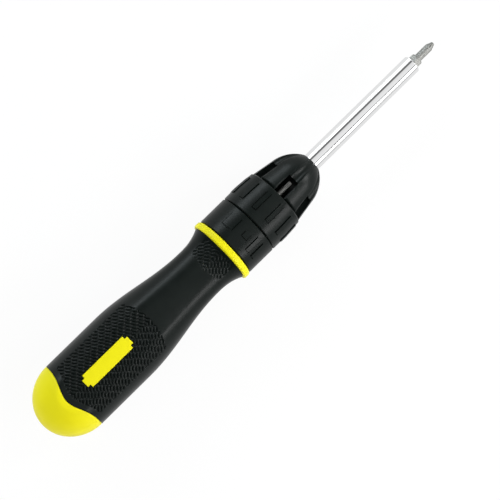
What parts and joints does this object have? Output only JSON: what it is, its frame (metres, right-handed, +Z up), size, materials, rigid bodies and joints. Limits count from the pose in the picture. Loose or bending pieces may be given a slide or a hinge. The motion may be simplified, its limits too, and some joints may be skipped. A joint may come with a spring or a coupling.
{
  "type": "ratcheting screwdriver",
  "caption": "Ratcheting screwdriver: bulged soft grip, selector collar, spare-bit carrier behind a sliding windowed nose, and a bright round shaft that holds a hex bit.",
  "frame": {"origin": "on the table, below the middle of the tool's length", "axes": "+X along the shaft towards the tip, +Z up out of the face with the label panel"},
  "size_m": [0.276, 0.0394, 0.0362],
  "materials": {
    "yellow_plastic": "glossy moulded plastic",
    "grip_rubber": "satin moulded rubber with knurled pads",
    "black_plastic": "satin moulded plastic",
    "housing_plastic": "matt moulded plastic",
    "screw_steel": "bright zinc plate",
    "bush_bronze": "sintered bronze",
    "ratchet_steel": "hardened steel",
    "shaft_chrome": "bright chrome plate",
    "bit_steel": "grey phosphated steel",
    "magnet": "nickel plate",
    "ring_rubber": "matt"
  },
  "bodies": {
    "handle": {"handle_core": "yellow_plastic", "grip_sleeve": "grip_rubber", "ratchet_housing": "housing_plastic", "housing_cover": "housing_plastic", "cover_screws": "screw_steel", "pawl_pin": "screw_steel", "rear_bush": "bush_bronze", "front_bush": "bush_bronze"},
    "selector": {"selector_ring": "black_plastic", "selector_plunger": "screw_steel", "plunger_spring": "screw_steel"},
    "pawl": {"rocker_pawl": "ratchet_steel"},
    "drive": {"shaft": "shaft_chrome", "ratchet_gear": "ratchet_steel", "spindle_clip": "screw_steel", "thrust_washer": "bush_bronze", "bit_carrier": "black_plastic", "carrier_key": "screw_steel", "carrier_clip": "screw_steel", "bit_magnet": "magnet", "stored_bit_slot_small": "bit_steel", "stored_bit_slot_large": "bit_steel", "stored_bit_cross_small": "bit_steel", "stored_bit_cross_large": "bit_steel", "stored_bit_square": "bit_steel", "stored_bit_star": "bit_steel"},
    "nose": {"nose_cap": "black_plastic", "nose_grip_ring": "ring_rubber"},
    "bit": {"driver_bit": "bit_steel"}
  },
  "joints": [
    {"name": "selector_turn", "type": "hinge", "parent": "handle", "child": "selector", "pos_m": [-0.0033, 0, 0.0181], "axis": [1, 0, 0], "range_deg": [-20, 20]},
    {"name": "pawl_rock", "type": "hinge", "parent": "handle", "child": "pawl", "pos_m": [-0.0044, 0, 0.02763], "axis": [1, 0, 0], "range_deg": [-6, 6]},
    {"name": "shaft_spin", "type": "hinge", "parent": "handle", "child": "drive", "pos_m": [0.0144, 0, 0.0181], "axis": [1, 0, 0], "continuous": true},
    {"name": "nose_slide", "type": "slide", "parent": "drive", "child": "nose", "axis": [1, 0, 0], "range_m": [0, 0.028]},
    {"name": "bit_pull", "type": "slide", "parent": "drive", "child": "bit", "axis": [1, 0, 0], "range_m": [0, 0.0105]}
  ],
  "couplings": [
    {"joint": "pawl_rock", "follows": "selector_turn", "ratio": 0.285}
  ]
}
